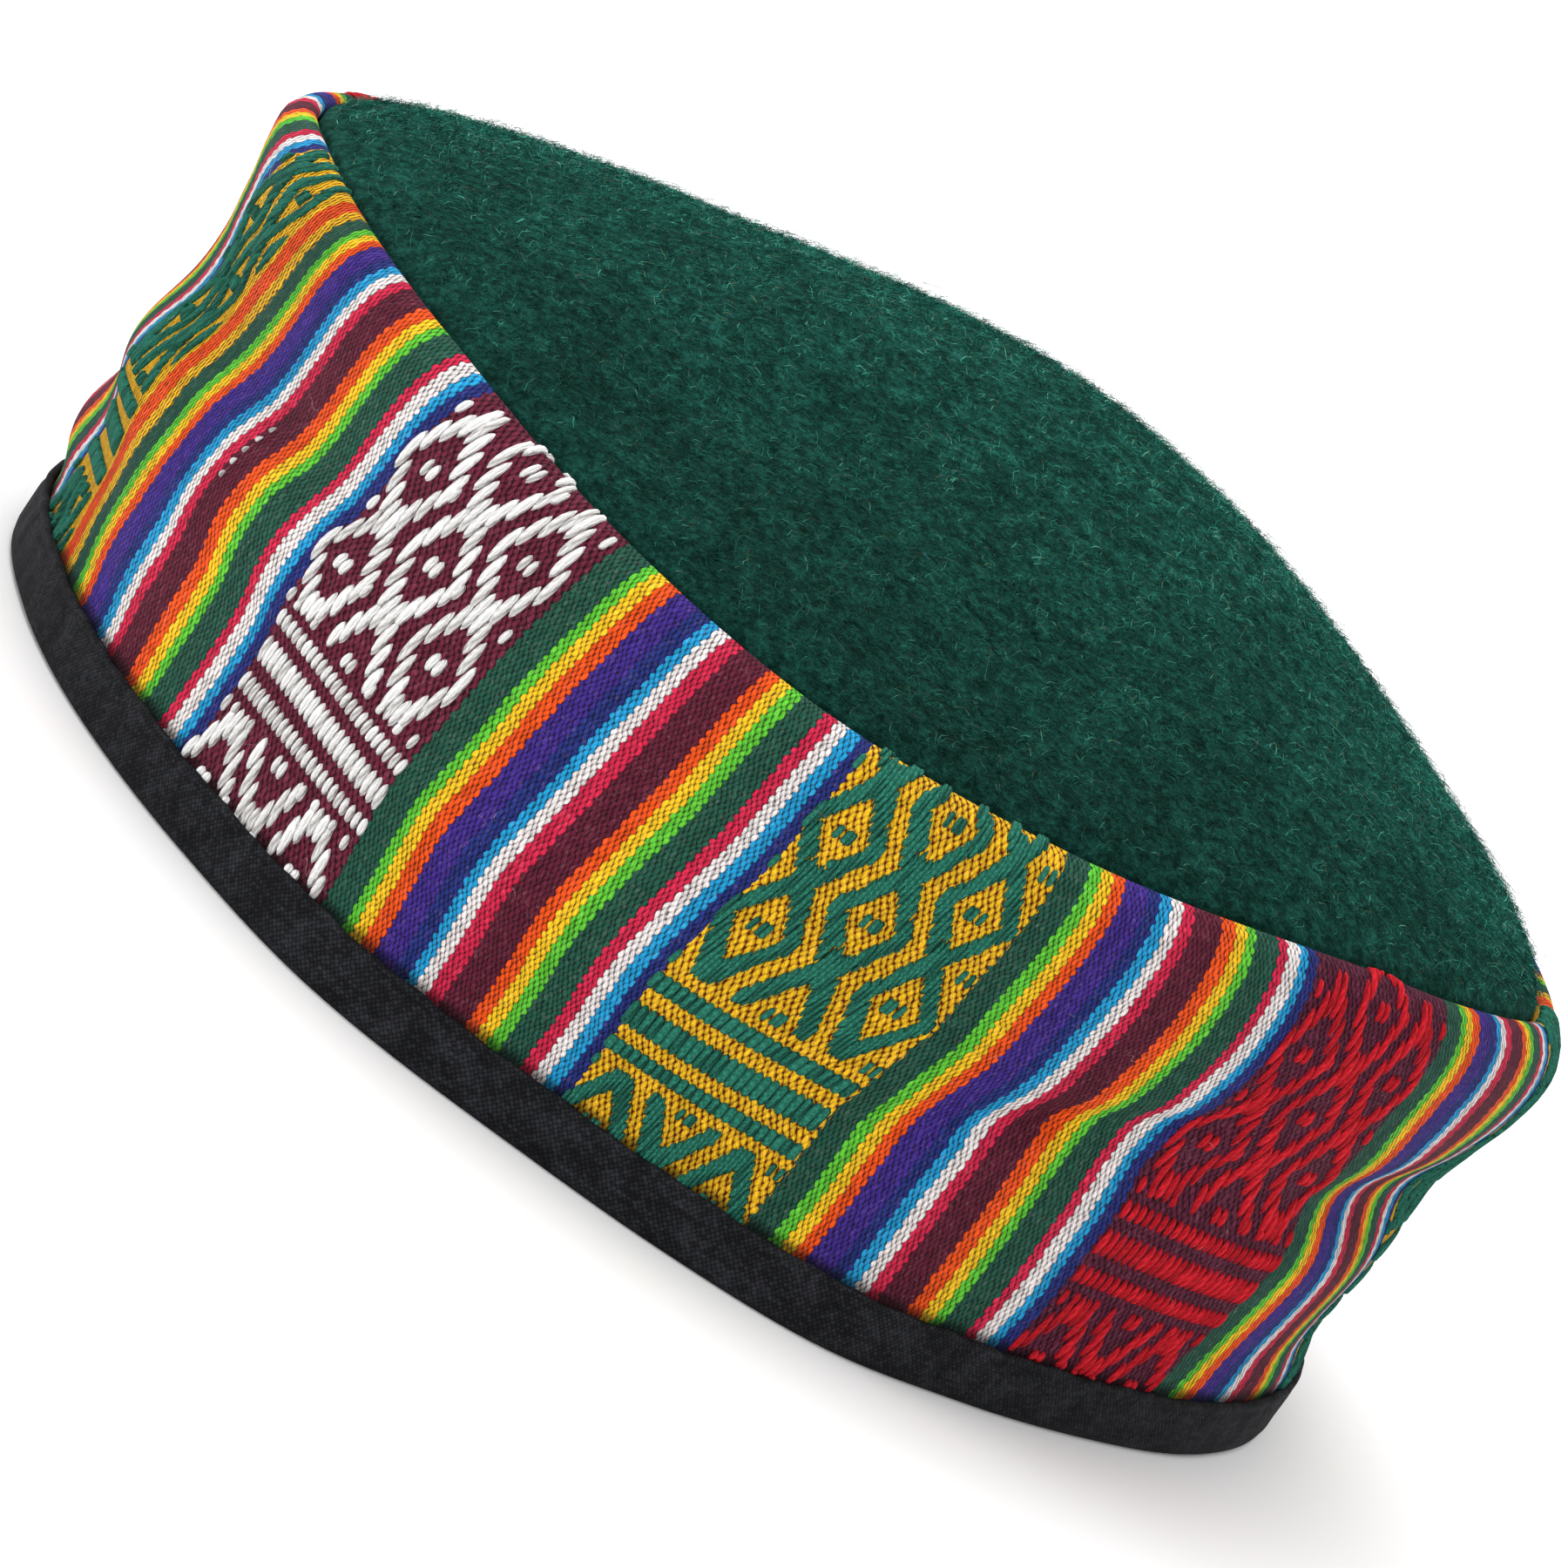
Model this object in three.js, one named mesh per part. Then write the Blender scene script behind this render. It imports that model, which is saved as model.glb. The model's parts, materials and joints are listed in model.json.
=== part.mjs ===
// A brimless round cap in millimetres, +Z up, its rim resting on the plane z = 0.
// Three pieces: a felt crown, a band of striped woven cloth and a folded tape that binds the rim.
// The front of the cap faces -Y, and azimuths run from the front (0) to the +X side (90).

import * as THREE from 'three';

// Driving dimensions
const rimRadius = 94.6;          // mean outside of the binding, for a head of about 580 mm
const feltThickness = 2.4;
const clothThickness = 2.2;
const tapeThickness = 1.0;
const gap = 0.3;                 // clearance between sewn pieces
const bindingHeight = 8.2;
const bindingInnerHeight = 7.2;
const bandFoot = 1.7;            // lower edge of the cloth, inside the folded tape
const seamRadius = 92;           // ring where the cloth turns in to meet the felt
const seamShift = -1.2;          // the seam ring leans towards -X
const allowanceDrop = 8;         // felt that goes down inside the band below the seam
const crownRise = 23.5;          // height of the crown over the seam
const crownPower = 1.22;         // 1 is a cone, 2 a bowl
const crownTipRound = 0.1;       // rounding of the crown's top, as a share of its radius
const crownPuff = 2.4;           // steep lift of the felt just inside the seam
const crownPuffPower = 38;
const crownFoldFade = 12;        // power by which the crown's folds fade at the seam
const crownTop = { x: 6, y: 3.5 };   // the top of the crown sits off centre
const lipDrop = 0.9;             // the lip's underside starts this far under its top
const foldFade = 6;              // folds die out this far from the binding and the seam
const crownMiddle = 66;          // the seam's mean height, which the crown rises from
const tapeRound = 1.6;           // rounding of the binding's two lower corners
const tapeEdge = 0.3;            // chamfer on the tape's cut edges
const azimuthSteps = 84;

// The rim's outline from above: how far it stands out from a circle of rimRadius
const rimPlan = [
  { azimuth: 0, out: 1.0 },
  { azimuth: 12, out: 1.8 },
  { azimuth: 26, out: 2.6 },
  { azimuth: 40, out: -1.2 },
  { azimuth: 56, out: -2.8 },
  { azimuth: 72, out: -1.4 },
  { azimuth: 90, out: 0.0 },
  { azimuth: 125, out: -1.0 },
  { azimuth: 155, out: 1.0 },
  { azimuth: 185, out: -0.2 },
  { azimuth: 215, out: 0.8 },
  { azimuth: 245, out: -1.2 },
  { azimuth: 270, out: 0.0 },
  { azimuth: 290, out: -2.1 },
  { azimuth: 310, out: -2.4 },
  { azimuth: 326, out: -0.8 },
  { azimuth: 342, out: 2.6 },
];

// Height of the band's upper edge around the cap
const seamLine = [
  { azimuth: 0, height: 64.5 },
  { azimuth: 20, height: 66.5 },
  { azimuth: 45, height: 70.0 },
  { azimuth: 60, height: 69.2 },
  { azimuth: 76, height: 66.8 },
  { azimuth: 92, height: 62.8 },
  { azimuth: 112, height: 60.9 },
  { azimuth: 136, height: 60.2 },
  { azimuth: 180, height: 61.5 },
  { azimuth: 225, height: 60.2 },
  { azimuth: 248, height: 61.6 },
  { azimuth: 268, height: 64.8 },
  { azimuth: 290, height: 68.6 },
  { azimuth: 320, height: 68.4 },
  { azimuth: 340, height: 65.8 },
];

// The band's side profile: share of its height, and how far it stands out there
const bandProfile = [
  { share: 0.0, out: 0.0 },
  { share: 0.14, out: 0.2 },
  { share: 0.3, out: 0.5 },
  { share: 0.45, out: 0.9 },
  { share: 0.6, out: 1.2 },
  { share: 0.72, out: 2.2 },
  { share: 0.82, out: 3.8 },
  { share: 0.9, out: 4.7 },
  { share: 0.96, out: 4.3 },
  { share: 1.0, out: 2.6 },
];

// Soft folds in the band, as smooth swellings and dents
const bandFolds = [
  { azimuth: 76, height: 37, rise: -4.0, halfAngle: 18, halfHeight: 6.5 },
  { azimuth: 40, height: 36, rise: -1.8, halfAngle: 22, halfHeight: 6 },
  { azimuth: 36, height: 52, rise: 1.6, halfAngle: 14, halfHeight: 10 },
  { azimuth: 108, height: 42, rise: 5.0, halfAngle: 15, halfHeight: 12 },
  { azimuth: 90, height: 54, rise: 0.8, halfAngle: 18, halfHeight: 8 },
  { azimuth: 86, height: 15, rise: -1.3, halfAngle: 20, halfHeight: 9 },
  { azimuth: 272, height: 56, rise: -1.3, halfAngle: 24, halfHeight: 8 },
  { azimuth: 284, height: 32, rise: 3.3, halfAngle: 15, halfHeight: 7 },
  { azimuth: 302, height: 24, rise: 2.2, halfAngle: 14, halfHeight: 10 },
  { azimuth: 292, height: 45, rise: -1.2, halfAngle: 18, halfHeight: 6 },
  { azimuth: 261, height: 16, rise: 3.2, halfAngle: 16, halfHeight: 7 },
  { azimuth: 330, height: 46, rise: 0.8, halfAngle: 14, halfHeight: 12 },
  { azimuth: 155, height: 34, rise: -1.8, halfAngle: 22, halfHeight: 9 },
  { azimuth: 205, height: 40, rise: 1.2, halfAngle: 20, halfHeight: 12 },
  { azimuth: 232, height: 34, rise: -1.6, halfAngle: 14, halfHeight: 9 },
];

// Long low swells and creases on the crown, from one place to another in plan
const crownFolds = [
  { fromX: -62, fromY: -50, toX: -22, toY: -15, rise: 1.2, halfWidth: 11 },
  { fromX: -38, fromY: -60, toX: -12, toY: -32, rise: -1.5, halfWidth: 10 },
  { fromX: 12, fromY: -78, toX: 16, toY: -58, rise: -1.4, halfWidth: 12 },
  { fromX: 60, fromY: 8, toX: 84, toY: -8, rise: -0.7, halfWidth: 9 },
  { fromX: 30, fromY: -50, toX: 58, toY: -40, rise: 1.0, halfWidth: 14 },
  { fromX: -40, fromY: 46, toX: -10, toY: 66, rise: -1.2, halfWidth: 12 },
  { fromX: 30, fromY: 40, toX: 52, toY: 56, rise: 0.9, halfWidth: 13 },
];

// Smooth closed curve through a table's values, by azimuth
function around(table, column, azimuth) {
  const turn = ((azimuth % 360) + 360) % 360;
  const last = table.length - 1;
  let index = last;
  for (let row = 0; row < last; row += 1) {
    if (turn >= table[row].azimuth && turn < table[row + 1].azimuth) index = row;
  }
  const pick = (row) => table[(row + table.length) % table.length];
  const span = ((pick(index + 1).azimuth - pick(index).azimuth + 360) % 360);
  const share = (turn - pick(index).azimuth) / span;
  const values = [-1, 0, 1, 2].map((step) => pick(index + step)[column]);
  return smoothStep(values, share);
}

// Catmull-Rom value between the middle two of four
function smoothStep([before, start, end, after], share) {
  const pull = (end - before) / 2;
  const push = (after - start) / 2;
  const square = share * share;
  const cube = square * share;
  return (2 * cube - 3 * square + 1) * start + (cube - 2 * square + share) * pull
    + (3 * square - 2 * cube) * end + (cube - square) * push;
}

// Smooth value along the band's profile
function profileOut(share) {
  const last = bandProfile.length - 1;
  let index = 0;
  while (index < last - 1 && share > bandProfile[index + 1].share) index += 1;
  const pick = (row) => bandProfile[Math.min(Math.max(row, 0), last)];
  const span = pick(index + 1).share - pick(index).share;
  const values = [-1, 0, 1, 2].map((step) => pick(index + step).out);
  return smoothStep(values, (share - pick(index).share) / span);
}

// A rounded hump, 1 at its middle and fading to nothing
function hump(distance) {
  return Math.exp(-distance * distance);
}

function wrapDegrees(angle) {
  return ((angle + 540) % 360) - 180;
}

function bandFoldAt(azimuth, height) {
  let rise = 0;
  for (const fold of bandFolds) {
    const sideways = wrapDegrees(azimuth - fold.azimuth) / fold.halfAngle;
    const upwards = (height - fold.height) / fold.halfHeight;
    rise += fold.rise * hump(sideways) * hump(upwards);
  }
  const top = around(seamLine, 'height', azimuth);
  const fromRim = THREE.MathUtils.smoothstep(height, bindingHeight, bindingHeight + foldFade);
  const fromSeam = 1 - THREE.MathUtils.smoothstep(height, top - foldFade, top);
  return rise * fromRim * fromSeam;
}

function crownFoldAt(x, y) {
  let rise = 0;
  for (const fold of crownFolds) {
    const line = new THREE.Vector2(fold.toX - fold.fromX, fold.toY - fold.fromY);
    const place = new THREE.Vector2(x - fold.fromX, y - fold.fromY);
    const share = THREE.MathUtils.clamp(place.dot(line) / line.lengthSq(), 0, 1);
    const away = place.sub(line.multiplyScalar(share)).length();
    rise += fold.rise * hump(away / fold.halfWidth);
  }
  return rise;
}

// A point at an azimuth, a distance from the axis and a height; higher rings lean to -X
function ringPoint(azimuth, radius, height, leaning) {
  const angle = THREE.MathUtils.degToRad(azimuth);
  const x = radius * Math.sin(angle) + seamShift * leaning;
  return new THREE.Vector3(x, -radius * Math.cos(angle), height);
}

function rimAt(azimuth) {
  return rimRadius + around(rimPlan, 'out', azimuth);
}

// The outside of the band at a share of its height, 0 at the floor and 1 at the upper edge
function bandOuter(azimuth, share) {
  const height = share * around(seamLine, 'height', azimuth);
  const rim = rimAt(azimuth) - tapeThickness - gap;
  const mixed = rim + (seamRadius - rim) * share;
  const radius = mixed + profileOut(share) + bandFoldAt(azimuth, height);
  return { radius, height, leaning: share };
}

// The curled upper edge: how far outside the seam ring, and how far under the top
const bandLip = [
  { out: 1.7, drop: 0 },
  { out: 0.6, drop: 0.2 },
  { out: 0, drop: 0.8 },
  { out: 0.2, drop: 1.9 },
];

// Band: outside wall, upper edge curled in to the seam, inside wall, lower edge
const bandShares = [0.025, 0.14, 0.22, 0.3, 0.38, 0.46, 0.54, 0.62, 0.7, 0.77, 0.84, 0.9, 0.95, 0.985];

function bandSection(azimuth) {
  const top = around(seamLine, 'height', azimuth);
  const outside = bandShares.map((share) => bandOuter(azimuth, share));
  outside[0].height = bandFoot;
  const inside = outside.slice(0, -1).map((point) => ({
    radius: point.radius - clothThickness,
    height: Math.min(point.height, top - lipDrop - clothThickness),
    leaning: point.leaning,
  }));
  const lip = bandLip.map(({ out, drop }) => ({ radius: seamRadius + out, height: top - drop, leaning: 1 }));
  return [...outside, ...lip, ...inside.reverse()];
}

// Crown height at a share of its radius
function crownHeight(azimuth, share) {
  const edge = around(seamLine, 'height', azimuth);
  const base = edge * share * share + crownMiddle * (1 - share * share);
  const rounded = Math.hypot(share, crownTipRound * (1 - share));
  const cone = crownRise * (1 - rounded ** crownPower);
  return base + cone + crownPuff * (1 - share ** crownPuffPower);
}

function crownPoint(azimuth, share, edgeRadius, sink) {
  const angle = THREE.MathUtils.degToRad(azimuth);
  const drift = 1 - share * share;
  const x = edgeRadius * share * Math.sin(angle) + seamShift + crownTop.x * drift;
  const y = -edgeRadius * share * Math.cos(angle) + crownTop.y * drift;
  const fade = 1 - share ** crownFoldFade;
  const height = crownHeight(azimuth, share) + crownFoldAt(x, y) * fade - sink;
  return new THREE.Vector3(x, y, height);
}

// Crown: the dome's inside, the allowance that hangs inside the band, then the dome's outside
const crownShares = [0.1, 0.22, 0.34, 0.46, 0.58, 0.69, 0.79, 0.88, 0.94, 0.975, 1];

function crownSection(azimuth) {
  const outerRadius = seamRadius - gap - 0.1;
  const innerRadius = outerRadius - feltThickness;
  const edge = around(seamLine, 'height', azimuth);
  const outside = crownShares.map((share) => crownPoint(azimuth, share, outerRadius, 0));
  const inside = crownShares.map((share) => crownPoint(azimuth, share, innerRadius, feltThickness));
  const skirt = [innerRadius, outerRadius].map(
    (radius) => ringPoint(azimuth, radius, edge - allowanceDrop, 1),
  );
  return [...inside, ...skirt, ...outside.reverse()];
}

// Binding: a tape folded round the band's lower edge, flat underneath
function bindingSection(azimuth) {
  const rim = rimAt(azimuth);
  const top = around(seamLine, 'height', azimuth);
  const clothOutside = (height) => bandOuter(azimuth, Math.max(height, bandFoot) / top).radius;
  const clothInside = (height) => clothOutside(height) - clothThickness;
  const floor = bandFoot - gap;
  const inner = rim - 3 * gap - 2 * tapeThickness - clothThickness;
  const outerEdge = clothOutside(bindingHeight) + gap;
  const innerEdge = clothInside(bindingInnerHeight) - gap;
  const section = [
    { radius: rim - tapeRound, height: 0 },
    { radius: rim - tapeRound * 0.3, height: tapeRound * 0.25 },
    { radius: rim, height: tapeRound },
    { radius: rim + 0.1, height: bindingHeight / 2 },
    { radius: outerEdge + tapeThickness, height: bindingHeight - tapeEdge },
    { radius: outerEdge, height: bindingHeight },
    { radius: clothOutside(floor) + gap, height: floor },
    { radius: clothInside(floor) - gap, height: floor },
    { radius: innerEdge, height: bindingInnerHeight },
    { radius: innerEdge - tapeThickness, height: bindingInnerHeight - tapeEdge },
    { radius: inner, height: tapeRound },
    { radius: inner + tapeRound * 0.3, height: tapeRound * 0.25 },
    { radius: inner + tapeRound, height: 0 },
  ];
  return section.map((point) => ({ ...point, leaning: point.height / top }));
}

function toPoint(azimuth, place) {
  if (place.isVector3) return place;
  return ringPoint(azimuth, place.radius, place.height, place.leaning);
}

// Joins the sections round the axis; the first and last points of an open section meet at poles
function loftAround(section, closed) {
  const rings = [];
  for (let step = 0; step < azimuthSteps; step += 1) {
    const azimuth = (360 * step) / azimuthSteps;
    rings.push(section(azimuth).map((place) => toPoint(azimuth, place)));
  }
  const count = rings[0].length;
  const positions = rings.flat().flatMap((point) => point.toArray());
  const indices = [];
  const at = (step, place) => (step % azimuthSteps) * count + (place % count);
  const bands = closed ? count : count - 1;
  for (let step = 0; step < azimuthSteps; step += 1) {
    for (let place = 0; place < bands; place += 1) {
      const corners = [at(step, place), at(step + 1, place), at(step + 1, place + 1), at(step, place + 1)];
      indices.push(corners[0], corners[1], corners[2], corners[0], corners[2], corners[3]);
    }
  }
  if (!closed) {
    for (const [place, turned] of [[0, 1], [count - 1, 0]]) {
      const middle = new THREE.Vector3();
      rings.forEach((ring) => middle.addScaledVector(ring[place], 1 / azimuthSteps));
      const pole = positions.length / 3;
      positions.push(...middle.toArray());
      for (let step = 0; step < azimuthSteps; step += 1) {
        indices.push(pole, at(step + turned, place), at(step + 1 - turned, place));
      }
    }
  }
  const geometry = new THREE.BufferGeometry();
  geometry.setAttribute('position', new THREE.Float32BufferAttribute(positions, 3));
  geometry.setIndex(indices);
  geometry.computeVertexNormals();
  return geometry;
}

function piece(name, geometry, finish) {
  const mesh = new THREE.Mesh(geometry, new THREE.MeshStandardMaterial({ metalness: 0, ...finish }));
  mesh.name = name;
  return mesh;
}

const cap = new THREE.Group();
cap.add(piece('crown', loftAround(crownSection, false), { color: 0x0f4a3e, roughness: 1 }));
cap.add(piece('band', loftAround(bandSection, true), { color: 0x5f2038, roughness: 0.9 }));
cap.add(piece('binding', loftAround(bindingSection, true), { color: 0x16181a, roughness: 0.85 }));

// The middle of the cap's own box stands over the origin
const middle = new THREE.Box3().setFromObject(cap).getCenter(new THREE.Vector3());
cap.position.set(-middle.x, -middle.y, 0);

export default cap;
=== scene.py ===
import json
import math

import bmesh
import bpy
import numpy as np
from mathutils import Matrix

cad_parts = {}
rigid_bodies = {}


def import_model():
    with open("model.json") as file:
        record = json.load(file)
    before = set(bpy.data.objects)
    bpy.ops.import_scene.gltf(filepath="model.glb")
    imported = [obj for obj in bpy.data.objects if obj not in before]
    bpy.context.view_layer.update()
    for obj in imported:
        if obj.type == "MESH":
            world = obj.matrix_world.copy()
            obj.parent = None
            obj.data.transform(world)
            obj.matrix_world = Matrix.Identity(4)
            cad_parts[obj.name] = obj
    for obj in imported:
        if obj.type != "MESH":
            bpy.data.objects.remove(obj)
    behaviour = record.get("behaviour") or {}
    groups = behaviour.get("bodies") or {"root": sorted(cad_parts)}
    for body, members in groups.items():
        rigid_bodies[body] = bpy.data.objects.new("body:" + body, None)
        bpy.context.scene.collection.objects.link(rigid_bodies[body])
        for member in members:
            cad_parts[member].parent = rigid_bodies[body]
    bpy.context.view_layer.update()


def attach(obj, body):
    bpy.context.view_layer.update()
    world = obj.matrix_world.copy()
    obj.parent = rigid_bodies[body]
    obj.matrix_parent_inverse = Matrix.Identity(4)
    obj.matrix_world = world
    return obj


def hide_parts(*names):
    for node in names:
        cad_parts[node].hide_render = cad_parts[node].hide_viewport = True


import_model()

mm = 0.001
chance = np.random.default_rng(11)

# The cap's shape, in millimetres: azimuth 0 is the front, -Y, and 90 is +X
cap = {
    "rimRadius": 94.6, "feltThickness": 2.4, "clothThickness": 2.2, "tapeThickness": 1.0,
    "gap": 0.3, "bindingHeight": 8.2, "bindingInnerHeight": 7.2, "bandFoot": 1.7,
    "seamRadius": 92.0, "seamShift": -1.2, "seamSlack": 0.1, "allowanceDrop": 8.0,
    "crownRise": 23.5, "crownPower": 1.22, "crownTipRound": 0.1, "crownPuff": 2.4,
    "crownPuffPower": 38, "crownFoldFade": 12, "crownTop": (6.0, 3.5), "crownMiddle": 66.0,
    "foldFade": 6.0, "tapeRound": 1.6,
    "rollShare": 0.965, "rollLead": 0.99,       # shares of the seam's height where the band rolls in
    "rollSpots": ((1.75, 0.0), (0.75, 0.15), (0.12, 0.8), (0.05, 1.9)),     # then out of the seam, and down
    "offCentre": (0.24, 0.03),      # what standing the cap's box over the origin moves it
}

# How far the rim stands out from its circle, by azimuth
rimPlan = {0: 1.0, 12: 1.8, 26: 2.6, 40: -1.2, 56: -2.8, 72: -1.4, 90: 0.0, 125: -1.0, 155: 1.0,
           185: -0.2, 215: 0.8, 245: -1.2, 270: 0.0, 290: -2.1, 310: -2.4, 326: -0.8, 342: 2.6}

# Height of the band's upper edge, by azimuth
seamLine = {0: 64.5, 20: 66.5, 45: 70.0, 60: 69.2, 76: 66.8, 92: 62.8, 112: 60.9, 136: 60.2,
            180: 61.5, 225: 60.2, 248: 61.6, 268: 64.8, 290: 68.6, 320: 68.4, 340: 65.8}

# How far the band stands out at a share of its height
bandProfile = {0.0: 0.0, 0.14: 0.2, 0.3: 0.5, 0.45: 0.9, 0.6: 1.2, 0.72: 2.2, 0.82: 3.8,
               0.9: 4.7, 0.96: 4.3, 1.0: 2.6}

# Soft folds in the band: azimuth, height, rise, half angle, half height
bandFolds = [
    (76, 37, -4.0, 18, 6.5), (40, 36, -1.8, 22, 6), (36, 52, 1.6, 14, 10), (108, 42, 5.0, 15, 12),
    (90, 54, 0.8, 18, 8), (86, 15, -1.3, 20, 9), (272, 56, -1.3, 24, 8), (284, 32, 3.3, 15, 7),
    (302, 24, 2.2, 14, 10), (292, 45, -1.2, 18, 6), (261, 16, 3.2, 16, 7), (330, 46, 0.8, 14, 12),
    (155, 34, -1.8, 22, 9), (205, 40, 1.2, 20, 12), (232, 34, -1.6, 14, 9),
]

# Low swells and creases on the crown: from x, from y, to x, to y, rise, half width
crownFolds = [
    (-62, -50, -22, -15, 1.2, 11), (-38, -60, -12, -32, -1.5, 10), (12, -78, 16, -58, -1.4, 12),
    (60, 8, 84, -8, -0.7, 9), (30, -50, 58, -40, 1.0, 14), (-40, 46, -10, 66, -1.2, 12),
    (30, 40, 52, 56, 0.9, 13),
]

# Narrow creases across the band: from azimuth and height, to azimuth and height, depth, half width
bandCreases = [(20, 27, 33, 36.8, 1.1, 2.6), (33, 36.8, 47, 46, 1.1, 2.6), (316, 40, 326, 33, 0.5, 3.5)]

# The cloth's threads run up the band, and its rows of weft lie round it
cloth = {
    "threadsRound": 1364,           # threads in one turn
    "frontThread": 82,              # the thread at azimuth 0, counted from a group of stripes
    "rowHeight": 0.72,
    "stripes": 90,                  # threads in a group of stripes, and in a figured panel
    "panel": 64,
    "panelKinds": 4,                # panels until the same one comes again
    "stripePly": 1.25,              # ends that show for each thread of the stripes, and of a panel
    "panelPly": 0.94,
    "panelRows": 0.86,              # rows of a panel to each one of the stripes
    "lean": 0.22,                   # how far a thread's top slants
}

# How many threads the cloth is pulled aside, by azimuth, at each height in driftHeights
driftHeights = (6, 16, 25, 32, 39, 46, 56, 68)
clothDrift = {
    0: (4, 3, 3, 1, -2, -5, -7, -10), 18: (9, 7, 6, 1, -4, -5, -6, -7),
    30: (8, 7, 6, 4, -3, -4, -4, -4), 42: (3, 0, 0, -1, -1, -3, -4, -2),
    54: (-1, -5, -8, -11, -10, -7, -4, 2), 66: (-4, -11, -16, -22, -22, -13, -3, 3),
    80: (-9, -15, -17, -18, -17, -11, -4, 3), 100: (0, 0, 0, 0, 0, 0, 0, 0),
    180: (0, 0, 0, 0, 0, 0, 0, 0), 260: (0, 0, 0, 0, 0, 0, 0, 0),
    280: (5, -6, -14, -18, -10, -8, -16, -28), 294: (17, 17, 9, 3, 10, 6, -15, -37),
    306: (11, 10, 7, 11, 11, 3, -8, -17), 318: (5, 3, 2, 5, 5, -2, -8, -14),
    330: (0, 2, 3, 2, 0, -4, -9, -16), 342: (-1, 1, 3, 1, -1, -3, -8, -13),
}

# How far the cloth's rows stand above their own level, by azimuth, at each height in liftHeights
liftHeights = (10, 24, 39, 57)
rowLift = {
    3: (0, -2.0, -1.0, -1.8), 19: (0, 0.3, 0, -1.0), 30: (0.3, 1.4, 1.6, 0.6), 43: (0.5, 2.1, 2.9, 1.9),
    60: (0, 0.8, 1.3, 1.7), 80: (0, 0, 0, 0.5), 100: (0, 0, 0, 0), 180: (0, 0, 0, 0), 270: (0, 0, 0, 0),
    305: (0, 1.2, 0.3, 0.3), 322: (0, 1.5, 0.2, 0), 339: (0, -1.1, -0.3, 0), 352: (0, -2.2, -0.8, -1.0),
}


# Smooth value between the middle two of four
def between(before, start, end, after, share):
    pull, push = (end - before) / 2, (after - start) / 2
    square = share * share
    cube = square * share
    return ((2 * cube - 3 * square + 1) * start + (cube - 2 * square + share) * pull
            + (3 * square - 2 * cube) * end + (cube - square) * push)


# Smooth closed curve through a table by azimuth
def around(table, azimuth):
    turn = np.asarray(azimuth, float) % 360
    places, values = np.array(list(table)), np.array(list(table.values()), float)
    row = np.searchsorted(places, turn, side="right") - 1
    span = (places[(row + 1) % len(places)] - places[row]) % 360
    share = ((turn - places[row]) % 360) / span
    if values.ndim > 1:
        share = share[..., None]
    return between(*(values[(row + step) % len(places)] for step in (-1, 0, 1, 2)), share)


# Smooth open curve through places in rising order; values may have a row for each point asked
def along(places, values, asked):
    places = np.asarray(places, float)
    values = np.broadcast_to(np.asarray(values, float), (*np.shape(asked), len(places)))
    asked = np.clip(asked, places[0], places[-1])
    row = np.clip(np.searchsorted(places, asked, side="right") - 1, 0, len(places) - 2)
    share = (asked - places[row]) / (places[row + 1] - places[row])
    four = []
    for step in (-1, 0, 1, 2):
        index = np.clip(row + step, 0, len(places) - 1)
        four.append(np.take_along_axis(values, index[..., None], -1)[..., 0])
    return between(*four, share)


def hump(distance):
    return np.exp(-distance * distance)


def smoothStep(value, low, high):
    share = np.clip((value - low) / (high - low), 0, 1)
    return share * share * (3 - 2 * share)


def rimAt(azimuth):
    return cap["rimRadius"] + around(rimPlan, azimuth)


def topAt(azimuth):
    return around(seamLine, azimuth)


# Degrees from a place to an azimuth, the short way round
def turnFrom(place, azimuth):
    return (azimuth - place + 540) % 360 - 180


# How far points are from a straight line that starts at zero
def fromLine(x, y, spanX, spanY):
    share = np.clip((x * spanX + y * spanY) / (spanX ** 2 + spanY ** 2), 0, 1)
    return np.hypot(x - share * spanX, y - share * spanY)


def foldAt(azimuth, height):
    rise = np.zeros(np.shape(azimuth))
    for place, level, lift, halfAngle, halfHeight in bandFolds:
        sideways = turnFrom(place, azimuth) / halfAngle
        rise = rise + lift * hump(sideways) * hump((height - level) / halfHeight)
    arc = math.radians(1) * cap["rimRadius"]
    for fromTurn, fromHeight, toTurn, toHeight, depth, halfWidth in bandCreases:
        turn = turnFrom(fromTurn, azimuth) * arc
        away = fromLine(turn, height - fromHeight, (toTurn - fromTurn) * arc, toHeight - fromHeight)
        rise = rise - depth * hump(away / halfWidth)
    top, fade, foot = topAt(azimuth), cap["foldFade"], cap["bindingHeight"]
    return rise * smoothStep(height, foot, foot + fade) * (1 - smoothStep(height, top - fade, top))


# Height where the band begins to roll in to the seam
def rollStart(azimuth):
    return cap["rollShare"] * topAt(azimuth)


# Radius of the band's outside at an azimuth and a height
def bandRadius(azimuth, height):
    share = height / topAt(azimuth)
    rim = rimAt(azimuth) - cap["tapeThickness"] - cap["gap"]
    profile = along(list(bandProfile), list(bandProfile.values()), share)
    return rim + (cap["seamRadius"] - rim) * share + profile + foldAt(azimuth, height)


# Points in metres, moved as the cap is to stand over the origin
def standing(x, y, height):
    return np.stack([x + cap["offCentre"][0], y + cap["offCentre"][1], height + 0 * x], -1) * mm


# A point at an azimuth, a radius and a height; higher rings lean to -X
def ringPlace(azimuth, radius, height, leaning):
    angle = np.radians(azimuth)
    return standing(radius * np.sin(angle) + cap["seamShift"] * leaning, -radius * np.cos(angle), height)


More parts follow.
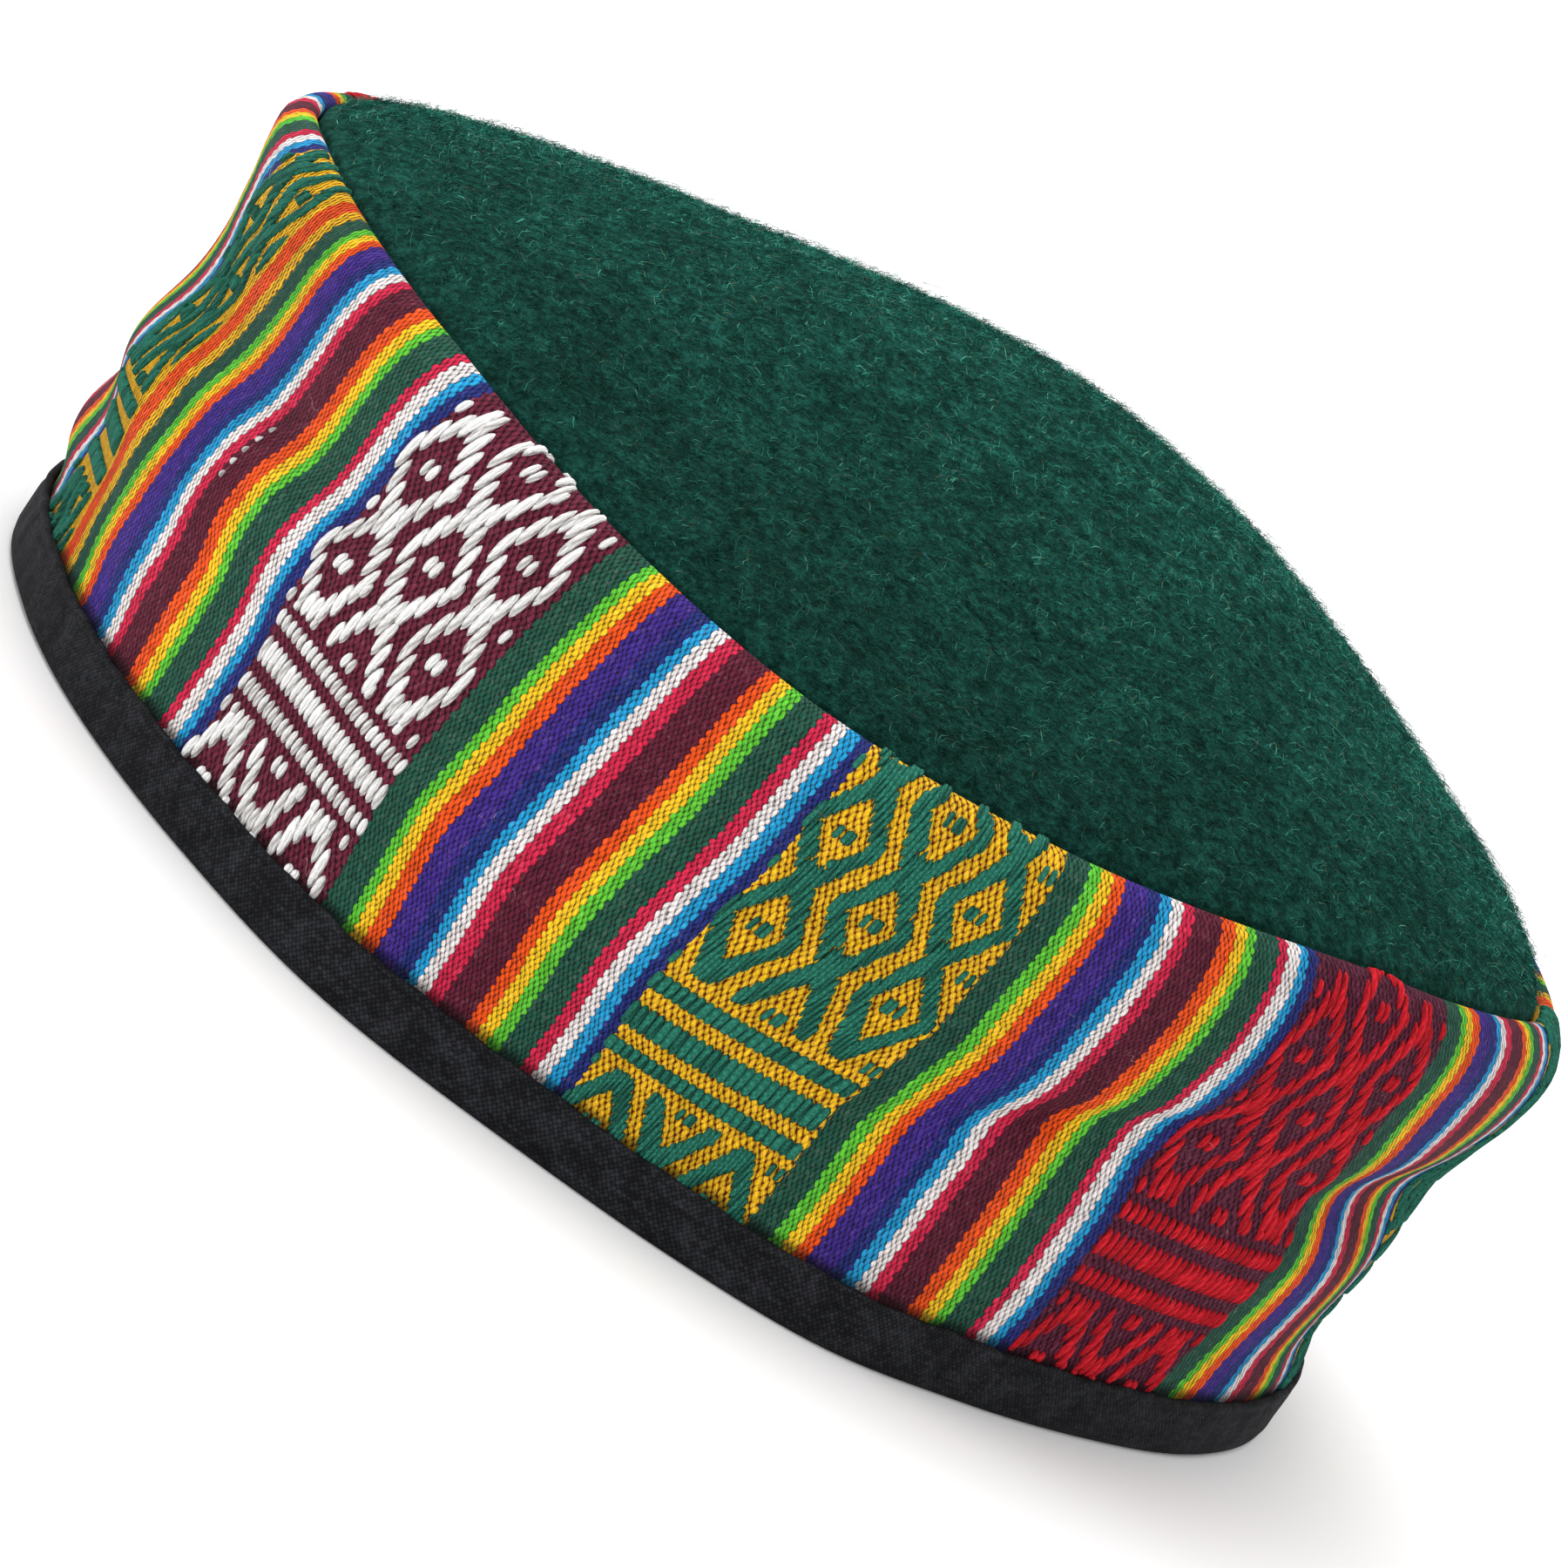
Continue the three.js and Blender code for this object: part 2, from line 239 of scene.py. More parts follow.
# The rolled upper edge of the band down into the seam, as radii and heights
def bandRoll(azimuth):
    top, roll = topAt(azimuth), []
    for share in (cap["rollShare"], cap["rollLead"]):
        roll.append((bandRadius(azimuth, share * top), share * top))
    for out, drop in cap["rollSpots"]:
        roll.append((cap["seamRadius"] + out + 0 * top, top - drop))
    return roll


# How far each point of the roll is along the cloth from the first
def rollWalk():
    roll = [(float(radius), float(height)) for radius, height in bandRoll(0.0)]
    steps = [math.dist(start, end) for start, end in zip(roll, roll[1:])]
    return [sum(steps[:count]) for count in range(len(roll))]


# A place on the cloth: level is its height, and past the start of the roll the way over it
def clothSpot(azimuth, level):
    over = level - rollStart(azimuth)
    roll = bandRoll(azimuth)
    radii, heights = (np.stack([spot[axis] for spot in roll], -1) for axis in (0, 1))
    radius, height = (along(rollWalk(), values, over) for values in (radii, heights))
    return np.where(over < 0, bandRadius(azimuth, level), radius), np.where(over < 0, level, height)


def clothPlace(azimuth, level):
    radius, height = clothSpot(azimuth, level)
    return ringPlace(azimuth, radius, height, height / topAt(azimuth))


# The thread at a turn from the front, before the cloth is pulled aside
def threadStraight(turn):
    return cloth["frontThread"] + turn * cloth["threadsRound"] / 360


# The thread that runs past a place on the cloth, and how far its rows are lifted there
def threadAt(azimuth, level):
    turn = (np.asarray(azimuth, float) + 180) % 360 - 180
    drift = along(driftHeights, around(clothDrift, turn), level)
    return threadStraight(turn) + drift


def liftAt(azimuth, level):
    return along(liftHeights, around(rowLift, azimuth), level)


# The azimuth where a thread crosses a level, closed in on in small steps
def azimuthOf(thread, level, steps=14, stepShare=0.8):
    perDegree = cloth["threadsRound"] / 360
    azimuth = (thread - cloth["frontThread"]) / perDegree
    for step in range(steps):
        azimuth = azimuth + stepShare * (thread - threadAt(azimuth, level)) / perDegree
    return azimuth


# Outward normals of a surface given as a function of two arrays
def outward(surface, first, second, firstStep, secondStep):
    sideways = surface(first + firstStep, second) - surface(first - firstStep, second)
    upwards = surface(first, second + secondStep) - surface(first, second - secondStep)
    normal = np.cross(sideways, upwards)
    return normal / np.linalg.norm(normal, axis=-1, keepdims=True)


def clothOutward(azimuth, level):
    return outward(clothPlace, azimuth, level, firstStep=0.2, secondStep=0.3)


def meshOf(name, form):
    mesh = bpy.data.meshes.new(name)
    form.to_mesh(mesh)
    form.free()
    return mesh


def addObject(name, data):
    made = bpy.data.objects.new(name, data)
    bpy.context.scene.collection.objects.link(made)
    return made


def placePiece(name, mesh, finishes):
    for finish in finishes:
        mesh.materials.append(finish)
    piece = addObject(name, mesh)
    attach(piece, "root")
    return piece


mergeDistance = 0.000002            # metres


# A smooth mesh from columns and rows of places, its doubles merged; sheet says each place's UV
def gridPiece(name, places, sheet, finishes, finishOf=None):
    segments = [count - 1 for count in places.shape[:2]]
    form = bmesh.new()
    layer = form.loops.layers.uv.new("cloth")
    bmesh.ops.create_grid(form, x_segments=segments[0], y_segments=segments[1], size=1)
    spots = []
    for vert in form.verts:
        spots.append(tuple(round((vert.co[axis] + 1) / 2 * segments[axis]) for axis in (0, 1)))
    form.verts.index_update()
    for face in form.faces:
        face.smooth = True
        for loop in face.loops:
            loop[layer].uv = sheet[spots[loop.vert.index]]
        if finishOf:
            face.material_index = finishOf(min(spots[loop.vert.index][1] for loop in face.loops))
    for vert, spot in zip(form.verts, spots):
        vert.co = places[spot]
    bmesh.ops.remove_doubles(form, verts=form.verts, dist=mergeDistance)
    if form.calc_volume(signed=True) < 0:
        bmesh.ops.reverse_faces(form, faces=form.faces)
    return placePiece(name, meshOf(name, form), finishes)


# Many copies of one small shape as a joined mesh: places is copies x points x 3, and shades holds a value
# for each copy or each point. Rounded yarns have a sheet, and flat fibres none
def joinedPiece(name, places, faces, finish, shades, sheet=None):
    copies, points = places.shape[:2]
    offsets = np.arange(copies)[:, None, None] * points
    flat = []
    for kind in faces:              # each kind holds faces with one number of corners
        flat.extend((np.asarray(kind)[None] + offsets).reshape(-1, np.shape(kind)[1]).tolist())
    mesh = bpy.data.meshes.new(name)
    mesh.from_pydata(places.reshape(-1, 3).tolist(), [], flat)
    shade = mesh.attributes.new("shade", "FLOAT", "POINT")
    shades = np.broadcast_to(np.reshape(shades, (copies, -1)), (copies, points))
    shade.data.foreach_set("value", shades.astype(np.float32).ravel())
    if sheet is not None:
        layer = mesh.uv_layers.new(name="cloth")
        corners = np.zeros(len(mesh.loops), np.int32)
        mesh.loops.foreach_get("vertex_index", corners)
        layer.data.foreach_set("uv", sheet.reshape(-1, 2)[corners].astype(np.float32).ravel())
        mesh.polygons.foreach_set("use_smooth", np.ones(len(mesh.polygons), bool))
    return placePiece(name, mesh, [finish])


# Finishes

def paint(text):
    parts = [int(text[place:place + 2], 16) / 255 for place in (1, 3, 5)]
    linear = [((part + 0.055) / 1.055) ** 2.4 if part > 0.04045 else part / 12.92 for part in parts]
    return (*linear, 1.0)


# A socket that adds Math nodes where it is calculated with
class Wire:
    def __init__(self, finish, socket):
        self.finish, self.socket = finish, socket

    def math(self, kind, first, second=None):
        inputs = {0: first} if second is None else {0: first, 1: second}
        return self.finish.node("Math", {"operation": kind}, inputs)

    def __add__(self, other):
        return self.math("ADD", self, other)

    def __sub__(self, other):
        return self.math("SUBTRACT", self, other)

    def __rsub__(self, other):
        return self.math("SUBTRACT", other, self)

    def __mul__(self, other):
        return self.math("MULTIPLY", self, other)

    __radd__, __rmul__ = __add__, __mul__

    def __truediv__(self, other):
        return self.math("DIVIDE", self, other)

    def __rtruediv__(self, other):
        return self.math("DIVIDE", other, self)

    def __gt__(self, other):
        return self.math("GREATER_THAN", self, other)

    def fraction(self):
        return self.math("FRACT", self)

    def highest(self, other):
        return self.math("MAXIMUM", self, other)


# A material with one Principled shader, and nodes added by name
class Finish:
    def __init__(self, name, **fixed):
        self.material = bpy.data.materials.new(name)
        self.material.use_nodes = True
        self.tree = self.material.node_tree
        self.shader = self.tree.nodes["Principled BSDF"]
        for socket, value in fixed.items():
            self.shader.inputs[socket.replace("_", " ")].default_value = value

    def node(self, kind, settings=None, inputs=None, output=0):
        made = self.tree.nodes.new("ShaderNode" + kind)
        for setting, value in (settings or {}).items():
            if setting == "stops":
                self.setStops(made.color_ramp, value)
            elif setting == "interpolation":
                made.color_ramp.interpolation = value
            else:
                setattr(made, setting, value)
        for socket, value in (inputs or {}).items():
            self.plug(value, made.inputs[socket])
        return Wire(self, made.outputs[output])

    def setStops(self, ramp, stops):
        while len(ramp.elements) < len(stops):
            ramp.elements.new(1.0)
        for element, (place, colour) in zip(ramp.elements, stops):
            element.position = place
            element.color = paint(colour)

    def plug(self, value, socket):
        if isinstance(value, Wire):
            self.tree.links.new(value.socket, socket)
        else:
            socket.default_value = value

    def finished(self, colour, normal=None):
        self.plug(colour, self.shader.inputs["Base Color"])
        if normal:
            self.plug(normal, self.shader.inputs["Normal"])
        return self.material

    def mix(self, share, first, second, blend="MIX"):
        settings = {"data_type": "RGBA", "blend_type": blend}
        return self.node("Mix", settings, {0: share, 6: first, 7: second}, output=2)

    def noise(self, place, scale, detail=3.0, roughness=0.55):
        inputs = {"Vector": place, "Scale": scale, "Detail": detail, "Roughness": roughness}
        return self.node("TexNoise", None, inputs)

    def spread(self, value, low, high, first=0.0, last=1.0):
        inputs = {0: value, 1: low, 2: high, 3: first, 4: last}
        return self.node("MapRange", {"interpolation_type": "SMOOTHSTEP"}, inputs)

    def bump(self, height, depth, under=None):
        inputs = {"Height": height, "Distance": depth, "Strength": 1.0}
        if under:
            inputs["Normal"] = under
        return self.node("Bump", None, inputs)

    def axis(self, place, index):
        return self.node("SeparateXYZ", None, {0: place}, output=index)

    def pair(self, first, second):
        return self.node("CombineXYZ", None, {0: first, 1: second})

    def sheetPlace(self):
        layer = self.node("UVMap", {"uv_map": "cloth"})
        return self.axis(layer, 0), self.axis(layer, 1)

    def objectPlace(self):
        return self.node("TexCoord", None, None, output=3)

    def ownShade(self):             # what joinedPiece gives each yarn or fibre
        return self.node("Attribute", {"attribute_name": "shade"}, None, output=2)

    def beadChance(self, thread, row):
        return self.node("TexWhiteNoise", {"noise_dimensions": "2D"}, {"Vector": self.pair(thread, row)})

    def ramp(self, share, stops, interpolation="LINEAR"):
        return self.node("ValToRGB", {"interpolation": interpolation, "stops": stops}, {0: share})

    def toned(self, colour, tone):
        greys = self.node("CombineColor", None, {0: tone, 1: tone, 2: tone})
        return self.mix(1.0, colour, greys, "MULTIPLY")


# The striped cloth: stripes from the group's first thread, with where each starts
stripeStarts = [
    (0, "#1f5342"), (8, "#5cc233"), (12, "#f4c21e"), (16, "#ef5212"), (20, "#3e2886"), (28, "#222f78"),
    (32, "#1c98cf"), (36, "#ece4e2"), (40, "#cf2348"), (44, "#5e1a30"), (54, "#ef5212"), (58, "#f4c21e"),
    (62, "#5cc233"), (66, "#1f5342"), (74, "#cf2348"), (78, "#ece4e2"), (82, "#1c98cf"), (86, "#222f78"),
    (90, "#5e1a30"),
]
# The panels' grounds by thread in four groups: gold, red, gold with an orange stripe, and white
panelGrounds = [(0, "#e9b41c"), (154, "#581a34"), (308, "#e9b41c"), (445, "#ef5212"), (453, "#e9b41c"),
                (462, "#661f36")]
# Painted shade in the hollows between the panels' beads, a darker tint for each ground in the same four
# groups
pitShadesByPanel = [(0, "#7a2418"), (154, "#8a5058"), (308, "#7a2418"), (462, "#8a5058")]


# Colours that start at their threads and come again after a span of threads
def coloursByThread(finish, starts, thread, span):
    stops = [(start / span, colour) for start, colour in starts]
    return finish.ramp((thread / span).fraction(), stops, "CONSTANT")


# Beads of a plain weave: how far up each spot is, and the thread and the row that show there. A bead is
# wide threads and tall rows from its middle to its edge
def weaveTops(across, upwards, lean, wide, tall):
    families = []
    for shift in (0, 1):            # each thread is on top at every other row
        sideways = (((across + shift) / 2).fraction() - 0.5) * 2
        upright = (((upwards + shift) / 2).fraction() - 0.5) * 2
        slanted = (sideways + upright * lean) / wide
        top = 1 - slanted * slanted - upright * upright / (tall * tall)
        families.append((top, across - sideways, upwards - upright))
    (first, firstThread, firstRow), (second, secondThread, secondRow) = families
    onTop = first > second
    thread = secondThread + (firstThread - secondThread) * onTop
    row = secondRow + (firstRow - secondRow) * onTop
    return first.highest(second), thread, row


# The cloth's look: waver pulls threads and rows aside, and dark and the values after it add up to the tone.
# Top and ply are painted shading, the beads lighter at their tops and along their plies; the pit colour
# is painted shade in the hollows between beads
clothLook = {
    "waverScales": (560.0, 640.0), "waver": 1.9, "beadWide": 0.84, "panelNarrower": 0.14, "beadTall": 0.77,
    "colourShift": 0.4,             # threads from a bead's middle to where its colour is read
    "twist": (0.9, 1.1, 0.3), "twistGroove": 0.2, "fibres": (4.0, 1.3), "wornScale": 140.0,
    "dark": 0.22, "each": 0.34, "strand": 0.14, "fibre": 0.4, "worn": 0.26, "top": 0.34, "ply": 0.26,
    "fleck": 0.26, "fuzz": 0.3, "fuzzScale": 1900.0, "pale": 0.8, "paleColour": "#c8a0a8",
    "pitShadeColour": "#4c3a40", "depth": 0.00033, "wornDepth": 0.0012,
    # painted shade: the cloth darkened towards the binding, where the binding shades it
    "paintedBindingShade": (0.0084, 0.01, 0.75), "paintedBindingShadeColour": "#050505",      # darker where it goes into the binding
}


def clothFinish(name, reverse):
    look, side = clothLook, -1 if reverse else 1
    finish = Finish(name, Roughness=0.8, Specular_IOR_Level=0.15)
    place = finish.objectPlace()
    across, upwards = finish.sheetPlace()
    period = cloth["stripes"] + cloth["panel"]
    panelFrom = cloth["stripes"] / period
    inPanel = (across / period).fraction() > panelFrom
    pitch = cloth["stripePly"] - inPanel * (cloth["stripePly"] - cloth["panelPly"])
    rows = 1 - inPanel * (1 - cloth["panelRows"])
    aside, lift = ((finish.noise(place, scale) - 0.5) * look["waver"] for scale in look["waverScales"])
    across, upwards = across * pitch + aside, upwards * rows + lift
    lean = side * cloth["lean"]
    wide = look["beadWide"] - inPanel * look["panelNarrower"]
    top, thread, row = weaveTops(across, upwards, lean, wide, look["beadTall"])
    middle = (thread + look["colourShift"]) / pitch
    stripe = coloursByThread(finish, stripeStarts, middle, period)
    ground = coloursByThread(finish, panelGrounds, middle, cloth["panelKinds"] * period)
    panelPit = coloursByThread(finish, pitShadesByPanel, middle, cloth["panelKinds"] * period)
    colour = finish.mix((middle / period).fraction() > panelFrom, stripe, ground)
    each = finish.beadChance(thread, row)
    strand = finish.node("TexWhiteNoise", {"noise_dimensions": "1D"}, {"W": thread})
    twistAcross, twistUp, twistStart = look["twist"]
    twist = (across - thread) * twistAcross + (upwards - row) * (side * twistUp) + twistStart
    twist = twist.fraction() - 0.5
    ply = finish.spread(twist * twist, 0.0, look["twistGroove"], 1.0, 0.0)
    fibresAcross, fibresUp = look["fibres"]
    fibres = finish.pair((across + upwards * lean) * fibresAcross, upwards * fibresUp)
    fibre = finish.spread(finish.noise(fibres, 1.0), 0.3, 0.7)
    worn = finish.noise(place, look["wornScale"], 2.0)
    # painted shading: top and ply make each bead lighter at its top and along its plies, darker at its edges
    tone = (look["dark"] + each * look["each"] + strand * look["strand"] + fibre * look["fibre"]
            + worn * look["worn"] + top * look["top"] + ply * look["ply"])
    colour = finish.toned(colour, tone)
    fleck = finish.spread(fibre * each, 0.55, 0.85) * look["fleck"]
    fuzz = finish.spread(finish.noise(place, look["fuzzScale"], 2.0), 0.55, 0.75) * look["fuzz"]
    pale = finish.mix(0.5, colour, paint(look["paleColour"]))
    colour = finish.mix((fleck + fuzz) * look["pale"], colour, pale)
    # painted shade: each bead darker from its top down into the hollows round it, tinted one way in the
    # stripes and another in the panels
    pit = finish.spread(top + each * 0.25, -0.3, 0.75, 1.0, 0.0)
    shadow = finish.mix(inPanel, paint(look["pitShadeColour"]), panelPit)
    colour = finish.mix(pit, colour, finish.mix(1.0, colour, shadow, "MULTIPLY"))
    # painted shade under the binding's upper edge
    low, high, darkness = look["paintedBindingShade"]
    paintedBindingShade = finish.spread(finish.axis(place, 2), low, high, darkness, 0.0)
    colour = finish.mix(paintedBindingShade, colour, paint(look["paintedBindingShadeColour"]))
    soft = finish.bump(worn, look["wornDepth"])
    return finish.finished(colour, finish.bump(top + fibre * 0.3 + ply * 0.35, look["depth"], soft))


# Raised yarns: two plies side by side, streaked along their length; shade, ply and streak add up to the tone.
# Ply is painted shade: the yarn darker in the groove between its plies
yarnLook = {"twist": 0.12, "groove": (0.1, 0.24), "streaks": 13.0, "streaky": (0.32, 0.62),
            "shade": 0.2, "ply": 0.32, "streak": 0.48, "depth": 0.00025}


def yarnFinish(name, light, dark, broken):
    look = yarnLook
    finish = Finish(name, Roughness=0.85, Specular_IOR_Level=0.15)
    across, upwards = finish.sheetPlace()
    middle = (across * 2 + upwards * look["twist"] + 0.5).fraction() - 0.5
    ply = finish.spread(middle * middle, *look["groove"], 1.0, 0.0)
    streaks = finish.pair(across * look["streaks"], upwards * broken)
    streak = finish.spread(finish.noise(streaks, 1.0), *look["streaky"])
    # painted shade: the tone falls to the dark colour in the groove between the plies
    tone = finish.ownShade() * look["shade"] + ply * look["ply"] + streak * look["streak"]
    colour = finish.mix(tone, paint(dark), paint(light))
    return finish.finished(colour, finish.bump(ply + streak * 0.6, look["depth"]))


# Wool of the crown, the same for the felt and for its fibres: clumps a few millimetres wide, and painted
# light, lighter towards the back and darker towards the front. Each is low, high and the tones there
woolLook = {"clumps": (0.35, 0.65, 0.5, 1.6), "patches": (0.35, 0.65, 0.82, 1.16),
            "back": (-0.11, 0.1, 0.6, 2.1), "depth": 0.0008,
            "felt": [(0.3, "#081f1b"), (0.5, "#10352e"), (0.7, "#1a493f")], "sheen": "#3f7a68"}


def woolToneAndPaintedLight(finish, place):
    clumps = finish.spread(finish.noise(place, 480.0, 4.0, 0.7), *woolLook["clumps"])
    patches = finish.spread(finish.noise(place, 70.0, 2.0), *woolLook["patches"])
    # painted light: the wool lighter towards the back of the crown and darker at its front
    return clumps * patches * finish.spread(finish.axis(place, 1), *woolLook["back"])


def feltFinish(name):
    finish = Finish(name, Roughness=1.0, Specular_IOR_Level=0.02, Sheen_Weight=0.2, Sheen_Roughness=0.6,
                    Sheen_Tint=paint(woolLook["sheen"]))
    place = finish.objectPlace()
    fine = finish.noise(place, 1500.0, 3.0, 0.7)
    tone = woolToneAndPaintedLight(finish, place)
    colour = finish.toned(finish.ramp(fine, woolLook["felt"]), tone)
    return finish.finished(colour, finish.bump(tone * 0.4 + fine * 0.6, woolLook["depth"]))


def hairFinish(name, stops, mottled):
    finish = Finish(name, Roughness=0.95, Specular_IOR_Level=0.05)
    colour = finish.ramp(finish.ownShade(), stops)
    if mottled:
        # the wool's clumps, with its painted light from back to front
        colour = finish.toned(colour, woolToneAndPaintedLight(finish, finish.objectPlace()))
    return finish.finished(colour)


# The tape's fine weave: its pitch in millimetres, the scale and reach of its waver, its beads' size, how
# far its noise is drawn out along the rows, and from top to dark the parts of its tone; top is painted
# shading, the beads lighter at their tops and darker in the hollows between them
tapeLook = {"pitch": (0.36, 0.4), "waver": ((500.0, 1.6), (700.0, 0.7)), "bead": (1.25, 1.0),
            "rows": (0.04, 0.8), "top": 0.55, "each": 0.24, "row": 0.3, "dust": 0.2, "dark": -0.3,
            "colours": [(0.0, "#030304"), (0.4, "#0e0f11"), (1.0, "#36373d")],
            "depth": 0.00012, "softDepth": 0.0009}


def tapeFinish(name):
    look, wavy = tapeLook, []
    finish = Finish(name, Roughness=0.85, Specular_IOR_Level=0.12)
    place = finish.objectPlace()
    for run, pitch, (scale, reach) in zip(finish.sheetPlace(), look["pitch"], look["waver"]):
        wavy.append(run / pitch + finish.noise(place, scale, 2.0) * reach)
    top, thread, row = weaveTops(*wavy, 0.0, *look["bead"])
    each = finish.beadChance(thread, row)
    rows = finish.pair(*(run * scale for run, scale in zip(wavy, look["rows"])))
    dust = finish.spread(finish.noise(place, 260.0, 4.0), 0.3, 0.7)
    # painted shading: the bead tops lighter, the hollows between beads darker
    tone = (top * look["top"] + each * look["each"] + finish.noise(rows, 1.0, 2.0) * look["row"]
            + dust * look["dust"] + look["dark"])
    soft = finish.bump(finish.noise(place, 160.0, 2.0), look["softDepth"])
    return finish.finished(finish.ramp(tone, look["colours"]), finish.bump(top, look["depth"], soft))


# Band: one closed section, up the outside, over the rolled edge, down inside
bandMesh = {"columns": 480, "outsideRows": 64, "rollRows": 15, "insideRows": 18,
            "backGroove": 0.7, "backHalfTurn": 0.9}     # the back seam's groove, in mm and in degrees


def makeBand():
    azimuth = np.linspace(-180, 180, bandMesh["columns"] + 1)
    top, foot = topAt(azimuth), cap["bandFoot"]
    rollFrom = rollStart(azimuth)
    groove = bandMesh["backGroove"] * hump((180 - np.abs(azimuth)) / bandMesh["backHalfTurn"])
    levels = [foot + (rollFrom - foot) * share for share in np.linspace(0, 1, bandMesh["outsideRows"])]
    levels += [rollFrom + over for over in np.linspace(0, rollWalk()[-1], bandMesh["rollRows"] + 1)[1:]]
    section = [(*clothSpot(azimuth, level), level) for level in levels]     # radius, height, level
    for share in np.linspace(1, 0, bandMesh["insideRows"]):
        height = foot + (top - cap["allowanceDrop"] - foot) * share
        section.append((bandRadius(azimuth, height) - cap["clothThickness"], height, height))
    section.append(section[0])
    places, sheet = [], []
    for radius, height, level in section:
        places.append(ringPlace(azimuth, radius - groove, height, height / top))
        drift = along(driftHeights, around(clothDrift, azimuth), level)
        row = (level - liftAt(azimuth, level)) / cloth["rowHeight"]
        sheet.append(np.stack([threadStraight(azimuth) + drift, row], -1))
    finishes = [clothFinish("striped_cloth", False), clothFinish("striped_cloth_reverse", True)]
    piece = gridPiece("band_cloth", np.stack(places, 1), np.stack(sheet, 1), finishes,
                      lambda row: int(row >= len(levels) - 1))
    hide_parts("band")


# Figured panels: raised yarns, charted in ticks across and rows from the middle bar
figure = {
    "ticks": 24, "row": 0.87, "middleBar": 23.6, "lowest": 7.4, "overRoll": 5.0, "shortest": 0.7,
    "greenWidth": 1.3, "plyWidth": 0.78, "redWidth": 0.72,
    "groups": 5, "seamClear": 3,    # panels each way from the front, and threads left bare at the back seam
}

# White and red diamonds. A strand's yarns are given by ticks and rows from its diamond's centre, and length
diamondChart = {
    "halfPeriod": 9.75, "firstCentre": 8.5, "sideChains": (3.4, 19.2), "middleChains": (11.3,),
    "bars": ((0.0, 4.7), (5.0, 3.2)), "barShift": 0.5, "clear": 7.2, "highest": 56, "crossing": (0.5, 8.2),
    "strand": ((1.5, 7.0, 7.2), (2.55, 4.1, 7.2), (3.55, 0.0, 8.4)), "shortest": 1.2,
    "widths": ((3.6, 1.07), (5.0, 1.28), (12.0, 1.36)),     # a yarn's width by the length that it has at most
    "eyeLength": 3.6, "eyeTicks": (-0.5, 0.5),
    "dotLength": 3.2, "sideDots": (7.6,), "middleDots": (0.4, 15.5, 22.9),
    "shift": {"white": -0.3, "red": 0.4}, "shiftFrom": 7,   # ticks that all above this row stand aside
}

# Gold zigzags and diamonds, left bare between yarns of green
goldChart = {
    "halfPeriod": 9.5, "firstCentre": 9.2, "sideChains": (3.5, 19.3), "middleChains": (11.5, 22.9),
    "diamond": (2.75, 6.5), "eye": (0.2, 0.95, 1.0),
    "zigzags": ((-0.4, -1.6), (7.35, 1.6), (15.35, -1.6), (23.1, 1.6)), "strandHalf": 0.95,
    "middleBar": 4.8, "bars": ((2.0, 4.4), (6.8, 8.7)), "firstTick": 0.1, "plies": (-0.25, 0.25),
    "longest": 9.0, "shortest": 0.8, "overlap": 0.35, "step": 0.25, "highest": 56, "plainFrom": 16.5,
}


# Chains of diamonds, each with how much later than the first centre it starts
def chainsOf(chart):
    sides = [(chain, chart["halfPeriod"]) for chain in chart["sideChains"]]
    return sides + [(chain, 0) for chain in chart["middleChains"]]


def diamondYarns():
    chart, yarns = diamondChart, []
    half, first = chart["halfPeriod"], chart["firstCentre"]
    for chain, later in chainsOf(chart):
        for centre in np.arange(first + later - 2 * half, chart["highest"], 2 * half):
            for side in (-1, 1):
                for away, rise, length in chart["strand"]:
                    yarns += [(chain + side * away, centre + lift, length) for lift in sorted({-rise, rise})]
                away, length = chart["crossing"]
                yarns.append((chain + side * away, centre + half, length))
            yarns += [(chain + tick, centre, chart["eyeLength"]) for tick in chart["eyeTicks"]]
    for centre in np.arange(first, chart["highest"], 2 * half):
        yarns += [(tick, centre, chart["dotLength"]) for tick in chart["middleDots"]]
        yarns += [(tick, centre + half, chart["dotLength"]) for tick in chart["sideDots"]]
    kept = []
    for place, length in chart["bars"]:
        kept += [(tick + chart["barShift"], place, length) for tick in range(figure["ticks"])]
    for tick, place, length in yarns:
        low, high = max(place - length / 2, chart["clear"]), place + length / 2
        if high - low > chart["shortest"]:
            kept.append((tick, (low + high) / 2, high - low))
    return [(*yarn, next(width for most, width in chart["widths"] if yarn[2] <= most)) for yarn in kept]


# True where gold shows in the gold panel, at a tick and a row from the middle bar
def goldShows(tick, place):
    chart = goldChart
    if place < chart["bars"][-1][1]:
        return any(low < place < high for low, high in chart["bars"])
    half, first = chart["halfPeriod"], chart["firstCentre"]
    for chain, later in chainsOf(chart):
        up = abs((place - first - later + half) % (2 * half) - half)
        away = abs(tick - chain)
        if away / chart["diamond"][0] + up / chart["diamond"][1] < 1:
            return not chart["eye"][0] < away < chart["eye"][1] or up > chart["eye"][2]
    swing = 1 - 2 * abs((place - first) % (2 * half) - half) / half
    return any(abs(tick - middle - reach * swing) < chart["strandHalf"] for middle, reach in chart["zigzags"])


